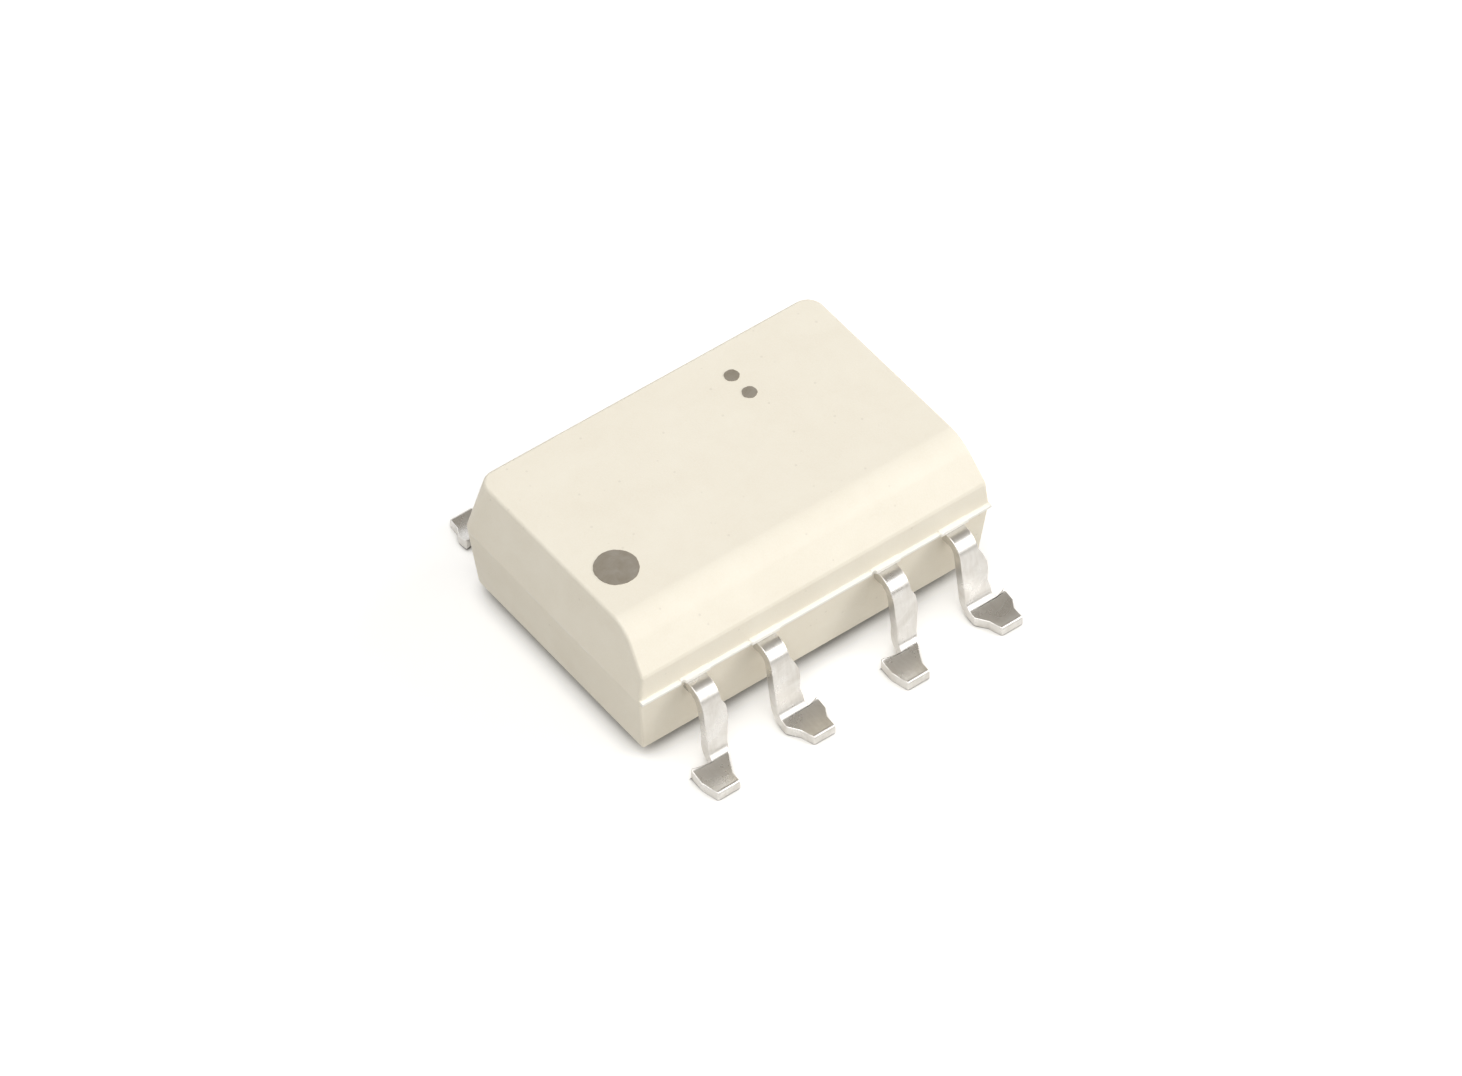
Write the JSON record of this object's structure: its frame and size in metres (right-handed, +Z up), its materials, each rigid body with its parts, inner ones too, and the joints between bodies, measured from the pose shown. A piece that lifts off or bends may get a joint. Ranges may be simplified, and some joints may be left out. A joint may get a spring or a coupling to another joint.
{
  "type": "surface-mount photocoupler chip",
  "caption": "Cream moulded photocoupler with a chamfered long edge, a flash line, a pin 1 dot and outward-bent tinned leads for surface mounting.",
  "frame": {"origin": "middle of the part's outline on the plane on which the feet's soles stand", "axes": "+X along the rows of pins, +Y across them with pins 1 to 4 on the -Y side, +Z up"},
  "size_m": [0.0094, 0.0098, 0.0037],
  "materials": {
    "mould_resin": "cream moulded epoxy, satin",
    "tin_plate": "bright tin plating on copper alloy",
    "emitter_chip": "polished compound semiconductor",
    "silicon": "polished silicon",
    "die_glue": "silver-filled epoxy",
    "gold_wire": "bright drawn gold",
    "clear_silicone": "clear soft silicone",
    "marking_ink": "grey-brown printed ink"
  },
  "bodies": {
    "root": {"package_body": "mould_resin", "lead_1": "tin_plate", "lead_2": "tin_plate", "lead_3": "tin_plate", "lead_4": "tin_plate", "lead_5": "tin_plate", "lead_6": "tin_plate", "lead_7": "tin_plate", "lead_8": "tin_plate", "led_chip": "emitter_chip", "led_die_attach": "die_glue", "detector_chip": "silicon", "detector_die_attach": "die_glue", "led_wire": "gold_wire", "ground_wire": "gold_wire", "output_wire_6": "gold_wire", "output_wire_7": "gold_wire", "supply_wire": "gold_wire", "light_dome": "clear_silicone", "pin_1_dot": "marking_ink"}
  },
  "joints": []
}
